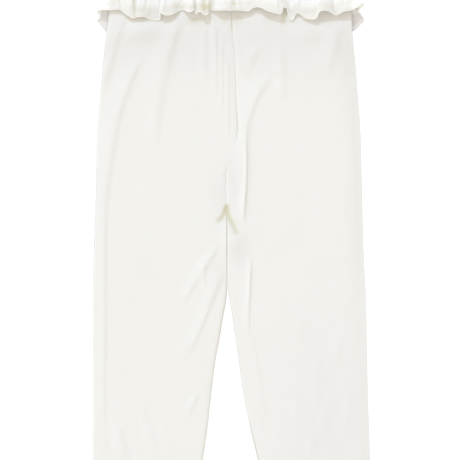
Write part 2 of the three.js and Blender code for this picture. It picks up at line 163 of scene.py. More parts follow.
white_ground = Finish("white_ground")
white_ground.fill(white_ground.shader, {
    "Base Color": (0.76, 0.76, 0.76, 1),
    "Roughness": 0.9,
    "Emission Color": (1, 1, 1, 1),
    "Emission Strength": 0.05,
})
white_ground.mix_shaders(white_ground.node("LightPath", {}, {}, "Is Camera Ray"),
                         white_ground.node("Emission", {}, {"Strength": 1.1}))
ground_mesh = bpy.data.meshes.new("ground")
ground_bm = bmesh.new()
bmesh.ops.create_grid(ground_bm, x_segments=1, y_segments=1, size=3)
ground_bm.to_mesh(ground_mesh)
ground_bm.free()
ground = bpy.data.objects.new("ground", ground_mesh)
ground.location.z = -0.0003
ground_mesh.materials.append(white_ground.material)
scene.collection.objects.link(ground)

# Front leg panels, of fine ivory jersey, one from waist to hem for each leg. Outlines and heights
# come from short tables in millimetres, down from the waistband's top edge. The panels lie loosely
# on the back ones, are sewn to them at the sides and inseams, and carry the creases that show.
LENGTH = 621.6
BAND_DEEP = 29.4
HEM_DEEP = 30
HEM_STEP = 0.55
CROTCH = 280
# How thick each layer lies and how far the layers are apart, in millimetres, and how thick the
# visible cloth is, in metres.
CLOTH = 1.0
SEAM_GAP = 0.3
CLOTH_WALL = 0.0009
FRONT_GRID = (150, 300)
SIDES = {
    "down": [29.4, 44, 56, 86, 97, 118, 160, 191, 265, 317, 370, 475, 538, 580, LENGTH],
    "right": [-121, -125.2, -127, -129.8, -131.8, -134.2, -137.8, -140.6, -142.2, -144.1, -145.1,
              -145.3, -145.6, -144.6, -142],
    "left": [118, 122.4, 124.8, 126.6, 127.6, 129.8, 133.1, 135.4, 137.3, 138.6, 141.2, 143.4,
             145.5, 145.5, 144.4],
}
INSEAMS = {
    "down": [CROTCH, 340, 354, 370, 391, 412, 433, 475, 506, 527, 580, LENGTH],
    "right": [-4.5, -4.45, -4.5, -5.8, -9.5, -13, -17, -22.2, -25.6, -28.7, -36.4, -41],
    "left": [-4.5, -4.35, -3.6, -1.3, 2.2, 5.1, 8.2, 14.4, 20.9, 26, 38, 44],
}
CENTRE_FRONT = {
    "down": [BAND_DEEP, 76, 118, 160, 192, 208, 223, 236, 259, CROTCH],
    "x": [-0.3, 0.4, 4.5, 5.5, 6.6, 3.8, -1.6, -5, -5.5, -4.5],
}
SEAM_DEEP = {
    "down": [BAND_DEEP, 100, 125, 160, 188, 205, 225, 240, 262, 300, 330, 352, 370, LENGTH],
    "deep": [0.5, 0.5, 0.4, 0.9, 1.6, 0.2, 0.05, 0.55, 0.45, 0.3, 0.4, 0.2, 0, 0],
}
SEAM_HALF = 0.7
BACK_LIES = {"down": [BAND_DEEP, 44, 89, 125, LENGTH], "high": [1.4, 2.8, 2.8, 0, 0]}
FRONT_LIES = {
    "down": [BAND_DEEP, 46, 70, 110, 160, 262, 304, 350, 480, 590, LENGTH],
    "high": [3.2, 4.8, 5.3, 4.8, 4.2, 4.3, 4.3, 3.4, 2.8, 2.9, 2.9],
}
# How wide each leg's side edge and inner edge slope down, and how wide they roll under. The
# inner edges do so less where the legs touch. The cloth reaches a little past the outline.
EDGES = {
    "right": {"side": 2, "inner": 4.5, "side_roll": 0.6, "inner_roll": 1.3},
    "left": {"side": 20, "inner": 2, "side_roll": 0.3, "inner_roll": 0.6},
}
TOUCHING = {"slope": 0.8, "roll": 0.12}
OUTWARD = 0.6
# Creases, each a soft step that is steep on its right and runs out gently on its left: points
# (x, down), half width of the steep side and rise at the first and the last point, and how many
# times wider the gentle side is.
CREASES = [
    ([(-109.5, 67.2), (-120, 101.8), (-133.6, 154.3)], 4, 3, 1.5, 0.9, 3),
    ([(-92.7, 111.3), (-114.7, 170.1), (-125.2, 222.6), (-131, 269.9), (-132, 369.6),
      (-132.6, 506.1)], 4, 1.6, 1.5, 0.7, 3),
    ([(-48.6, 65.1), (-64.3, 117.6), (-72.7, 159.6), (-79, 214.2)], 6, 4, 2.2, 0.5, 2.5),
    ([(-25.5, 75.6), (-26.5, 117.6), (-24.4, 151.2)], 2.6, 2.2, 0.8, 0.5, 2),
    ([(-16, 69.3), (-15, 117.6), (-13.9, 168)], 2.4, 2, 1.1, 0.6, 2),
    ([(-8.7, 92.4), (-8.7, 138.6), (-9.7, 184.8)], 2, 1.6, 0.8, 0.5, 2),
    ([(-3.4, 109.2), (-2.4, 159.6), (-2.4, 207.9)], 1.8, 1.6, 0.7, 0.5, 2),
    ([(45.9, 128.1), (28.1, 157.5), (18.1, 189), (17, 227.9), (16.2, 254.1),
      (14.8, 280.4), (16.5, 296)], 5, 1.6, 1.7, 0.9, 2.5),
    ([(16.4, 182), (16.8, 212), (16.8, 232), (16, 254.1), (14.9, 265), (13.2, 290)],
     0.9, 0.9, 1.0, 1.8, 4),
    ([(54.3, 92.4), (55.9, 133.3), (57, 170.1)], 4.5, 3.5, 1, 0.6, 2),
    ([(33.3, 98.7), (23.9, 117.6), (18.6, 134.4)], 4, 3.5, 1, 0.6, 2),
    ([(119.4, 69.3), (108.9, 112.3), (102.6, 142.8)], 7, 5, 1.7, 0.9, 2),
    ([(126.8, 149.1), (131, 243.6), (133.1, 327.6)], 2.5, 2, 0.5, 0.4, 2),
    ([(-8.7, 304.5), (-26.5, 336), (-41.2, 359.1), (-53.8, 380.1)], 3, 2.2, 1.2, 0.8, 2.5),
    ([(-26.5, 325.5), (-27.6, 359.1)], 2.5, 2, 0.6, 0.5, 2),
    ([(-4.5, 331.8), (-19.2, 369.6), (-32.8, 403.2), (-48.6, 436.8)], 2.8, 2.2, 1.4, 0.9, 3),
    ([(-32.8, 466), (-44.4, 493)], 3, 3, 1.0, 0.7, 2),
    ([(21.9, 320), (20.9, 340), (20.1, 359), (19, 384), (19.8, 412)], 0.9, 1.2, 1.8, 0.8, 4),
    ([(20.4, 390), (25.4, 420), (33.3, 469.4), (39.6, 499.8)], 3, 3, 0.45, 0.4, 2),
    ([(-119, 498), (-114.5, 514), (-107, 542)], 3.5, 3.5, 0.9, 0.7, 2),
    ([(-92.7, 485.1), (-75.9, 527.1)], 3, 3, 0.5, 0.5, 2),
    ([(77.4, 378), (72.2, 424.2)], 3, 3, 0.4, 0.4, 2),
    ([(95.3, 424.2), (91.1, 470.4)], 3, 3, 0.4, 0.4, 2),
    ([(117.3, 401.1), (112.1, 445.2)], 3, 3, 0.4, 0.3, 2),
    ([(104.7, 483), (97.4, 522.9)], 3.5, 3.5, 0.5, 0.4, 2),
    ([(126.8, 466.2), (121.5, 506.1)], 3, 3, 0.4, 0.4, 2),
    ([(72.2, 470.4), (68, 506.1)], 3, 3, 0.4, 0.3, 2),
    ([(89, 506.1), (84.8, 539.7)], 3, 3, 0.4, 0.3, 2),
    ([(118.4, 512.4), (114.2, 548.1)], 3, 3, 0.4, 0.3, 2),
    ([(-85.3, 548.1), (-94.8, 584.9)], 4, 3, 0.8, 0.4, 2),
    ([(-27.6, 537.6), (-37, 579.6)], 3, 3, 0.7, 0.4, 2),
    ([(47, 548.1), (53.3, 592.2)], 3, 3, 0.7, 0.4, 2),
    ([(103.7, 556.5), (110, 596.4)], 4, 3, 0.6, 0.4, 2),
]
CREASE_FADES = 24
# Swellings and hollows: x, down, half width, half height above and below, rise.
SWELLS = [
    (-92.7, 88, 17, 9, 8.5, 3.1), (3, 307, 11, 14, 12, 2.3), (80.6, 88, 16, 10, 9, 1.3),
    (32.3, 79.8, 14, 8, 7, 0.7), (-37, 86.1, 9, 8, 7, 0.8), (126.8, 117.6, 14, 40, 60, -0.8),
]
# The pinched folds that run out from the crotch over each leg: their points, depth and half width.
PINCHES = [
    [(-4.6, 272), (-7.8, 281), (-13, 287)],
    [(-4.4, 272), (-3.3, 280), (1.5, 290), (6.3, 299.5)],
]
PINCH_DEEP = 1.6
PINCH_HALF = 2.7
# Painted shadows under the ruffles and beside the crotch: x, down, half width and height, strength.
PAINTED_SHADOWS = [
    (99.5, 77.5, 7, 4.5, 0.1), (6, 74.5, 5.5, 5, 0.25), (-7.5, 75.5, 4, 4, 0.25),
    (56, 72, 3.4, 8, 0.5), (40, 74, 6, 4, 0.2), (0.8, 79, 0.9, 8, 0.75), (-38, 77, 9, 4, 0.4),
    (-105, 74, 4, 4, 0.25), (-11, 286, 5, 4, 0.2), (3, 294, 4.5, 8, 0.3),
]
# Broad, faint painted shade where the cloth lies a little lower: the same columns.
PAINTED_GREYS = [
    (0, 98, 400, 32, 1.2), (-93.7, 91, 17, 9, 1.1), (103.7, 517, 60, 130, 0.95),
    (2, 245, 10, 32, 0.9), (9, 322, 10, 15, 1.0), (-14, 258, 9, 22, 0.6), (-14, 345, 9, 24, 0.7),
    (-120, 600, 40, 60, 0.6), (-36.5, 90.8, 5, 4.5, 0.8), (-34.4, 104, 7, 2.2, 0.8),
]
# Width and height of one stitch of the knit, in metres.
WALE = 0.0009
COURSE = 0.00072


def jersey(name, tint, see_through=0.0):
    """A fine plain knit: columns of small V stitches, a soft uneven surface, a little fuzz, and
    slow changes of tone. The grain map holds metres across and along the cloth. A point's "deep"
    says how much warm painted shade it gets in folds and hollows, "far" how much bluish painted
    shade, and "thin" how far it is lit from behind."""
    finish = Finish(name)
    grain = finish.node("UVMap", {"uv_map": "grain"}, {})
    across = finish.node("SeparateXYZ", {}, {0: grain}, "X") + (finish.noise(60, 2) - 0.5) * 0.0012
    along = finish.node("SeparateXYZ", {}, {0: grain}, "Y")
    column = finish.maths("FRACT", across / WALE) - 0.5
    arms = finish.maths("SINE", (along / COURSE + 1.3 * abs(column)) * (2 * np.pi)) * 0.5 + 0.5
    stitch = (1 - 2 * abs(column)) * 0.6 + arms * 0.4
    slub = finish.noise(900, 3)
    fine = finish.node("Bump", {}, {
        "Strength": 0.35, "Distance": 0.00016, "Height": stitch + slub * 0.7})
    coarse = finish.node("Bump", {}, {
        "Strength": 1.0, "Distance": 0.0007, "Height": finish.noise(34, 3), "Normal": fine})
    tone = finish.mix(finish.noise(9, 2) * 0.45 + stitch * 0.35 + slub * 0.3,
                      (*[c * 0.965 for c in tint], 1), (*[c * 1.02 for c in tint], 1))
    # Painted shade: the attribute deep multiplies the colour by a warm tan, and far by a bluish grey.
    tone = finish.mix(finish.attribute("deep"), tone, (0.81, 0.78, 0.62, 1), "MULTIPLY")
    tone = finish.mix(finish.attribute("far"), tone, (0.87, 0.862, 0.945, 1), "MULTIPLY")
    finish.fill(finish.shader, {
        "Base Color": tone,
        "Roughness": slub * 0.12 + 0.82,
        "Normal": coarse,
        "Sheen Weight": 0.12,
        "Sheen Roughness": 0.6,
        "Specular IOR Level": 0.2,
    })
    if see_through:
        through = finish.node("BsdfTranslucent", {}, {"Color": (1.0, 0.965, 0.88, 1)})
        finish.mix_shaders(finish.attribute("thin") * see_through, through)
    return finish.material


ivory_jersey = jersey("ivory_jersey", (0.811, 0.801, 0.773))


def read(table, column, down):
    """The column's value at each distance down, on a smooth line through the table's rows."""
    at = np.array(table["down"], float)
    value = np.array(table[column], float)
    down = np.clip(down, at[0], at[-1])
    row = np.clip(np.searchsorted(at, down, "right") - 1, 0, len(at) - 2)
    before = np.maximum(np.arange(len(at)) - 1, 0)
    after = np.minimum(np.arange(len(at)) + 1, len(at) - 1)
    slope = (value[after] - value[before]) / (at[after] - at[before])
    span = at[row + 1] - at[row]
    t = (down - at[row]) / span
    start = (2 * t**3 - 3 * t**2 + 1) * value[row] + (t**3 - 2 * t**2 + t) * span * slope[row]
    end = (3 * t**2 - 2 * t**3) * value[row + 1] + (t**3 - t**2) * span * slope[row + 1]
    return start + end


def smooth(t):
    t = np.clip(t, 0, 1)
    return t * t * (3 - 2 * t)


def rounded(t):
    """A quarter of a circle: 0 at 0, rising steeply, and flat at 1."""
    return np.sqrt(1 - (1 - np.clip(t, 0, 1)) ** 2)


def line_of(points):
    return {"down": [p[1] for p in points], "x": [p[0] for p in points]}


def inner_edge(leg, centre, down):
    """Where a panel's inner edge is: its centre seam above the crotch, its inseam below."""
    return np.where(down < CROTCH, read(centre, "x", down), read(INSEAMS, leg, down))


def back_underside(down):
    """How high the back panels lie. The frill passes under them at the hips."""
    return np.maximum(0, read(BACK_LIES, "high", down))


def creased(rows, x, down):
    """The height that a table's creases add at each point."""
    total = np.zeros_like(x)
    for points, wide0, wide1, rise0, rise1, reach in rows:
        line = line_of(points)
        first, last = points[0][1], points[-1][1]
        t = (down - first) / (last - first)
        slope = (read(line, "x", down + 2) - read(line, "x", down - 2)) / 4
        wide = wide0 + (wide1 - wide0) * np.clip(t, 0, 1)
        wide = wide * (1 + 0.18 * np.sin(11 * t + first))
        aside = (x - read(line, "x", down) + 0.7 * wide) / np.sqrt(1 + slope**2)
        aside = np.where(aside < 0, aside / (wide * reach), aside / wide)
        fade = min(CREASE_FADES, 0.3 * (last - first))
        ends = smooth((down - first) / fade) * smooth((last - down) / fade)
        rise = rise0 + (rise1 - rise0) * np.clip(t, 0, 1)
        total += rise * ends * np.exp(-(aside**2))
    return total


def crease_height(x, down):
    """Creases and swellings, over ripples that are strongest low on the left leg."""
    total = creased(CREASES, x, down)
    for x0, down0, half, above, below, rise in SWELLS:
        along = (down - down0) / np.where(down < down0, above, below)
        total += rise * np.exp(-(((x - x0) / half) ** 2) - along**2)
    ripple = np.sin(x * 0.19 + down * 0.05) * np.sin(down * 0.083 + 2 * np.sin(x * 0.07))
    ripple += 0.6 * np.sin(x * 0.37 - down * 0.13 + 1.3 * np.sin(down * 0.06))
    crumpled = smooth((down - 380) / 150) * (0.35 + 0.65 * smooth((x - 60) / 50))
    return total + (0.04 + 0.09 * crumpled) * ripple


def pinch(x, down):
    """How near a point is to a pinched fold: about 1 in its middle, 0 away from it."""
    near = np.zeros_like(x)
    for points in PINCHES:
        line = line_of(points)
        first, last = points[0][1], points[-1][1]
        t = np.clip((down - first) / (last - first), 0, 1)
        slope = (read(line, "x", down + 1) - read(line, "x", down - 1)) / 2
        aside = (x - read(line, "x", down)) / np.sqrt(1 + slope**2)
        beyond = np.maximum(0, np.maximum(first - down, down - last))
        fold = np.exp(-((aside / PINCH_HALF) ** 2) - (beyond / 2) ** 2) * (1.1 - 0.4 * t)
        near = np.maximum(near, fold)
    return near


def front_top(leg, x, down):
    """The height of the front panel's upper face."""
    side = np.abs(x - read(SIDES, leg, down))
    inner = np.abs(x - inner_edge(leg, CENTRE_FRONT, down))
    folded = smooth((down - CROTCH + 6) / 26)
    apart = smooth((down - 335) / 50)
    side_round = np.sin(np.pi / 2 * np.clip(side / EDGES[leg]["side"], 0, 1))
    inner_slope = TOUCHING["slope"] + (EDGES[leg]["inner"] - TOUCHING["slope"]) * apart
    inner_round = rounded(inner / inner_slope)
    inner_round = inner_round + (1 - inner_round) * 0.75 * (1 - apart)
    over = side_round * (1 - folded + folded * inner_round)
    seam = np.minimum(0.5, read(SEAM_DEEP, "deep", down))
    dip = seam * np.exp(-((inner / 3) ** 2)) * (1 - folded) + PINCH_DEEP * pinch(x, down)
    rest = back_underside(down) + CLOTH + SEAM_GAP
    hem = HEM_STEP * smooth((down - LENGTH + HEM_DEEP) / 1.2)
    loft = read(FRONT_LIES, "high", down) - rest + crease_height(x, down) - dip + hem
    return rest + CLOTH + np.maximum(0, loft) * over


def front_face(leg, x, down, inner):
    """The front panel's upper face, with the groove of the seam along its inner edge."""
    groove = read(SEAM_DEEP, "deep", down) * np.exp(-(((x - inner) / SEAM_HALF) ** 2))
    return front_top(leg, x, down) - groove


def leg_shape(leg, centre, face):
    """Front panels are shaped by their upper face and back panels by their underside. Both roll
    at their folded edges until they meet at half their height. Rows and columns stand closest
    together at the crotch, the seams and the edges."""

    def shape(u, v):
        down = np.interp(1 - v, [0, 0.26, 0.65, 1], [BAND_DEEP + SEAM_GAP, 185, 340, LENGTH])
        across = u if leg == "left" else 1 - u
        share = np.interp(across, [0, 0.008, 0.075, 0.36, 0.93, 0.992, 1],
                          [0, 0.0006, 0.022, 0.2, 0.978, 0.9994, 1])
        outward = OUTWARD if leg == "left" else -OUTWARD
        apart = smooth((down - 348) / 16)
        inner = inner_edge(leg, centre, down) - outward * apart
        side = read(SIDES, leg, down) + outward
        x = inner + (side - inner) * share
        folded = smooth((down - CROTCH - 1) / 10)
        inner_roll = TOUCHING["roll"] + (EDGES[leg]["inner_roll"] - TOUCHING["roll"]) * apart
        turned = 1 - rounded(np.abs(x - side) / EDGES[leg]["side_roll"])
        turned = np.maximum(turned, folded * (1 - rounded(np.abs(x - inner) / inner_roll)))
        high = face(leg, x, down, inner)
        seam_high = back_underside(down) + CLOTH + SEAM_GAP / 2
        high = high + (seam_high - high) * turned
        grain = np.stack([(x - side) * 0.001, down * 0.001], axis=1)
        return np.stack([x, LENGTH / 2 - down, high], axis=1), grain

    return shape


def new_object(name, bm):
    mesh = bpy.data.meshes.new(name)
    bm.to_mesh(mesh)
    bm.free()
    for polygon in mesh.polygons:
        polygon.use_smooth = True
    piece = bpy.data.objects.new(name, mesh)
    scene.collection.objects.link(piece)
    return piece


def cloth_object(name, grid, shape):
    """A grid of cloth. shape gives points in millimetres and grain in metres from u and v."""
    bm = bmesh.new()
    bmesh.ops.create_grid(bm, x_segments=grid[0], y_segments=grid[1], size=0.5)
    flat = np.array([vert.co for vert in bm.verts])
    points, grain = shape(flat[:, 0] + 0.5, flat[:, 1] + 0.5)
    for vert, point in zip(bm.verts, points):
        vert.co = point * 0.001
    bm.verts.index_update()
    layer = bm.loops.layers.uv.new("grain")
    for face in bm.faces:
        for loop in face.loops:
            loop[layer].uv = grain[loop.vert.index]
    return new_object(name, bm)


def thicken(piece, thickness, offset):
    modifier = piece.modifiers.new("cloth", "SOLIDIFY")
    modifier.thickness = thickness
    modifier.offset = offset


def mark(piece, name, amount):
    """Gives each point a number that the material reads, from its x and its distance down."""
    layer = piece.data.attributes.new(name, "FLOAT", "POINT")
    points = np.empty(len(piece.data.vertices) * 3)
    piece.data.vertices.foreach_get("co", points)
    points = points.reshape(-1, 3) * 1000
    layer.data.foreach_set("value", amount(points[:, 0], LENGTH / 2 - points[:, 1]))


def painted_grey_patches(x, down):
    """The strongest patch of painted grey shade at a point takes over from the others, and each adds
    a quarter.
    """
    grey = np.zeros_like(x)
    for at_x, at_down, half_x, half_down, strength in PAINTED_GREYS:
        away = ((x - at_x) / half_x) ** 2 + ((down - at_down) / half_down) ** 2
        patch = 0.8 * strength * np.exp(-away)
        grey = np.maximum(grey, patch) + 0.25 * patch
    return grey


def hem_corner_shade(x, down):
    """Painted shade on the left leg's inner edge, where it turns under towards the hem."""
    inner = read(INSEAMS, "left", down) - OUTWARD
    return smooth((down - 492) / 20) * np.exp(-(((x - inner) / 1.3) ** 2))


def painted_fold_shade(x, down):
    """Warm painted shade on the front panels: in the folds, under the ruffles and at the left hem."""
    near = pinch(x, down)
    for at_x, at_down, half_x, half_down, strength in PAINTED_SHADOWS:
        away = ((x - at_x) / half_x) ** 4 + ((down - at_down) / half_down) ** 4
        near = np.maximum(near, strength * np.exp(-away))
    return near + 0.06 * painted_grey_patches(x, down) + 0.8 * hem_corner_shade(x, down)


def painted_grey_shade(x, down):
    """How much bluish painted shade it gets."""
    return 0.22 * painted_grey_patches(x, down) + hem_corner_shade(x, down)


def leg_panel(name, grid, shape, wall_side):
    """One panel. Laid out flat, the cloth of each is 150 mm wide and 592 mm long."""
    panel = cloth_object(name + "_cloth", grid, shape)
    thicken(panel, CLOTH_WALL, wall_side)
    panel.data.materials.append(ivory_jersey)
    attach(panel, "root")
    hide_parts(name)
    return panel


for leg in ("right", "left"):
    front_panel = leg_panel(f"front_{leg}_leg", FRONT_GRID,
                            leg_shape(leg, CENTRE_FRONT, front_face), -1)
    # The attributes deep and far hold painted shade for the folds, under the ruffles and at the
    # crotch.
    mark(front_panel, "deep", painted_fold_shade)
    mark(front_panel, "far", painted_grey_shade)

# Back leg panels, cut like the front ones from the same jersey. They lie flat on the surface and
# rise over the frill at the hips. Their creases are shallow troughs in the hidden undersides.
BACK_GRID = (90, 220)
CENTRE_BACK = {"down": [BAND_DEEP, CROTCH], "x": [-1.5, -4.5]}
BACK_CREASES = [
    ([(-104, 128), (-116, 182), (-122, 246)], 4, 3, 0.5, 0.3, 2.5),
    ([(-62, 122), (-55, 170), (-58, 226)], 3.5, 3, 0.45, 0.3, 2),
    ([(-30, 140), (-24, 188), (-16, 236)], 3, 2.5, 0.4, 0.35, 2),
    ([(-18, 296), (-34, 330), (-49, 372)], 3, 2.6, 0.6, 0.4, 2.5),
    ([(-22, 338), (-38, 388), (-52, 430)], 3, 3, 0.5, 0.3, 2),
    ([(-118, 330), (-122, 398), (-119, 462)], 3, 2.5, 0.4, 0.3, 3),
    ([(-84, 402), (-72, 452), (-77, 498)], 4, 3, 0.35, 0.3, 2),
    ([(-110, 508), (-96, 546)], 3.5, 3, 0.45, 0.3, 2),
    ([(-66, 528), (-74, 572)], 3, 3, 0.35, 0.3, 2),
    ([(98, 124), (108, 176), (112, 232)], 4, 3, 0.5, 0.3, 2.5),
    ([(58, 130), (64, 184), (59, 232)], 3.5, 3, 0.4, 0.3, 2),
    ([(26, 134), (21, 190), (14, 244)], 3, 2.5, 0.45, 0.35, 2),
    ([(12, 300), (24, 336), (38, 380)], 3, 2.6, 0.6, 0.4, 2.5),
    ([(44, 352), (50, 402), (62, 448)], 3, 3, 0.4, 0.3, 2),
    ([(120, 300), (126, 372), (124, 430)], 3, 2.5, 0.4, 0.3, 3),
    ([(88, 420), (80, 470), (86, 520)], 4, 3, 0.35, 0.3, 2),
    ([(122, 500), (112, 545)], 3.5, 3, 0.4, 0.3, 2),
    ([(74, 540), (82, 584)], 3, 3, 0.35, 0.3, 2),
]


def back_face(leg, x, down, inner):
    return back_underside(down) + creased(BACK_CREASES, x, down)


for leg in ("right", "left"):
    leg_panel(f"back_{leg}_leg", BACK_GRID, leg_shape(leg, CENTRE_BACK, back_face), 1)

# Waistband: a flattened ring of elastic in a fold of the same jersey, closely puckered, and sewn
# round the tops of the leg panels. Its upper and lower layers are joined by tight bends.
BAND_RIGHT = -120.5
BAND_LEFT = 117.5
BAND_BEND = 1.85
BAND_FACE = 1.1
BAND_PUCKER = 0.75
BAND_GRID = (960, 22)
band_middle = BAND_BEND + BAND_FACE


def band_shape(u, v):
    """The ring's outer face: u runs round it from the wearer's right, v from its foot to its top."""
    straight = (BAND_LEFT - band_middle) - (BAND_RIGHT + band_middle)
    bend = np.pi * BAND_BEND
    run = u * 2 * (straight + bend)
    on_top = run < straight
    left_bend = (run >= straight) & (run < straight + bend)
    below = (run >= straight + bend) & (run < 2 * straight + bend)
    right_bend = run >= 2 * straight + bend
    angle = np.where(left_bend, (run - straight) / BAND_BEND, 0)
    angle = np.where(below, np.pi, angle)
    angle = np.where(right_bend, (run - 2 * straight - bend) / BAND_BEND + np.pi, angle)
    x = np.where(on_top, BAND_RIGHT + band_middle + run, BAND_LEFT - band_middle)
    x = np.where(below, BAND_LEFT - band_middle - (run - straight - bend), x)
    x = np.where(right_bend, BAND_RIGHT + band_middle, x)
    round_edge = rounded(np.minimum(v, 1 - v) * BAND_DEEP / BAND_FACE)
    wave = 0.5 + 0.5 * np.sin(run * 1.27 + 1.1 * np.sin(run * 0.11) + 0.5 * np.sin(v * 5))
    pucker = wave * (0.55 + 0.45 * np.cos((v - 0.5) * 2.4)) * np.abs(np.cos(angle))
    reach = BAND_BEND + (BAND_FACE - BAND_PUCKER * pucker) * round_edge
    down = (1 - v) * BAND_DEEP
    high = band_middle + np.cos(angle) * reach
    points = np.stack([x + np.sin(angle) * reach, LENGTH / 2 - down, high], axis=1)
    return points, np.stack([run * 0.001, down * 0.001], axis=1)


band = cloth_object("waistband_cloth", BAND_GRID, band_shape)
band_bm = bmesh.new()
band_bm.from_mesh(band.data)
bmesh.ops.remove_doubles(band_bm, verts=band_bm.verts, dist=0.00001)
band_bm.to_mesh(band.data)
band_bm.free()
thicken(band, CLOTH_WALL, -1)
band.data.materials.append(ivory_jersey)
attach(band, "root")
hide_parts("waistband")

# Frill: one gathered strip of thinner jersey, sewn in under the band. From the slit at the centre
# front it runs round the left side, flat under the back and round the right side to the slit
# again. The table holds the hills, dips and tips of its lower edge: x, down, height.
FRILL_EDGE = np.array([
    (-0.1, 66, 12.4), (7.2, 66.1, 12.2), (13.3, 66.4, 10.7), (18.2, 66.6, 10.1),
    (21.3, 64.2, 10.1), (26.6, 62.4, 10.6), (33.1, 64.2, 11.8), (38.4, 67, 12.1),
    (43.6, 68.2, 12.1), (47.8, 69.5, 12.3), (51, 69.9, 12.8), (53.1, 67.6, 12.9),
    (53.5, 64.4, 12.3), (56.2, 62.6, 10.8), (58.7, 64.4, 9.6), (59.6, 69.4, 8.6),
    (61.4, 74.4, 7.9), (63.2, 75.8, 7.9), (65.3, 74, 8.2), (67, 70.4, 8.6), (69.6, 68.6, 8.8),
    (73.2, 70.4, 8.9), (78, 74, 9.3), (85.4, 75.2, 10.3), (89.2, 74.2, 11.4),
    (91.2, 69, 12.8), (94.7, 66.9, 13.8), (100, 66.6, 13.5), (105.3, 68.9, 11.8),
    (110.7, 70.8, 9.9), (117.4, 67.3, 11.5), (125.8, 65.8, 11.8), (131.5, 63.1, 11.5),
    (137.4, 59.2, 10.9), (138.8, 60.2, 9.4), (133.6, 65.8, 7.2), (136, 70, 5.2),
    (139.9, 75, 3.4), (134.9, 81.5, 2), (127.1, 87.2, 1.1), (119, 84, 2), (109, 87, 0.9),
    (96, 82, 2), (84, 86, 0.9), (70, 81, 2), (57, 85, 0.9), (42, 82, 2), (29, 86, 0.9),
    (15, 81, 2), (1, 85, 0.9), (-14, 82, 2), (-28, 86, 0.9), (-42, 81, 2), (-56, 85, 0.9),
    (-70, 82, 2), (-84, 86, 0.9), (-98, 81, 2), (-111, 86, 0.9), (-121, 84, 2),
    (-130.3, 87.7, 1.1), (-136.5, 82, 2), (-140.9, 76.4, 3.4), (-137, 71.4, 5.2),
    (-140.6, 68.5, 7), (-139.6, 66.5, 8.7), (-136.8, 65.4, 9.8), (-133.2, 65.3, 9.6),
    (-129.1, 65.5, 9), (-122.8, 65.2, 9), (-116.7, 65, 9.2), (-113.5, 67, 9.4),
    (-108.1, 71.3, 9.6), (-105, 73.1, 9.6), (-102.2, 73.8, 9.9), (-99.5, 73, 10.4),
    (-95.5, 72.6, 10.4), (-91, 72.5, 10.1), (-88.3, 73.5, 8.8), (-85.2, 74.8, 7.7),
    (-79.9, 75.6, 7.5), (-75.1, 75.4, 7.9), (-74.4, 71.5, 9.6), (-76, 68.2, 11.8),
    (-72.4, 70, 12.7), (-67.5, 71.3, 11.8), (-62.2, 70.5, 11.1), (-55.8, 66.7, 8.7),
    (-51.6, 64.6, 7.5), (-48.9, 65.4, 8.9), (-46.1, 67.2, 10.9), (-42.9, 67.9, 12.5),
    (-39.6, 66.4, 13.5), (-38.8, 64.4, 12.7), (-39.7, 63.2, 11.4), (-38.5, 65.6, 10.2),
    (-37, 69.4, 10.5), (-34.6, 67.9, 11.6), (-31.4, 67.8, 12.9), (-28.6, 70.7, 13.4),
    (-25.6, 71, 13), (-23.6, 68.4, 11.8), (-23, 64, 10.4), (-21, 64.6, 8.6),
    (-18.7, 65.6, 8.4), (-15.3, 66, 10.4), (-11.8, 66.3, 11.8), (-6.5, 66.1, 12.2),
    (0.9, 66.2, 10.9),
])
LAST = len(FRILL_EDGE) - 1
LEFT_TURN = 35 / LAST
RIGHT_TURN = 62 / LAST
# Hollows where the ruffles turn in: x, down, half width, half height, depth.
FRILL_HOLLOWS = [
    (-27.2, 63, 5.5, 5.5, 2.3), (-52.8, 62.4, 5.5, 2.6, 1.3), (-101.8, 57, 1.8, 7, 1.2),
    (3.6, 60.3, 3.2, 2.6, 1.2), (26.5, 61, 6, 2.4, 0.6), (-43.3, 64.2, 2.2, 1.3, 0.8),
    (100, 63.5, 7, 3, 0.4), (-121.5, 57, 2, 5, 0.7), (-40, 64, 4, 2.5, 1.1),
]
# Narrow folds in the frill: x at the top and at the edge, depth and half width.
FRILL_FOLDS = [
    (-128, -134.5, 0.7, 1.6), (-122, -114.8, 1.0, 1.5), (-99.5, -100.8, 1.5, 2),
    (-82, -91.5, 0.7, 1.7), (-70, -75.2, 0.8, 1.5), (-58, -49.5, 0.8, 1.8), (-30, -26.5, 1.5, 2.4),
    (-21.5, -22.9, 0.8, 1.4), (-12, -9.5, 0.4, 1.5), (4, 3.4, 1.2, 2), (30, 33, 0.4, 1.7),
    (47.5, 50.5, 0.9, 1.3), (62, 61.5, 0.6, 1.6), (75, 71.8, 0.5, 1.7), (90.5, 89.2, 0.7, 1.5),
    (104.5, 107.5, 0.8, 1.6), (113.5, 118, 0.4, 1.8), (122, 129.5, 0.5, 1.8),
]
FRILL_BULGE = 1.3
RIM_DIP = 0.9
FRILL_DEEP = 38
FRILL_LOW = 0.45
FRILL_WALL = 0.0008
FRILL_GRID = (1150, 30)
LEG_CLEAR = 1.0
BACK_CLEAR = 0.8
# The frill's seam: its left and right ends, its middle height, how tightly it turns there, and
# the x and height of its two ends at the slit, where the second one laps under the first.
SEAM_LEFT = 117.6
SEAM_RIGHT = -120.6
SEAM_HIGH = 2.7
SEAM_TURN = 2.2
SLIT_X = (0, 0.7)
SLIT_HIGH = (4.9, 3.9)

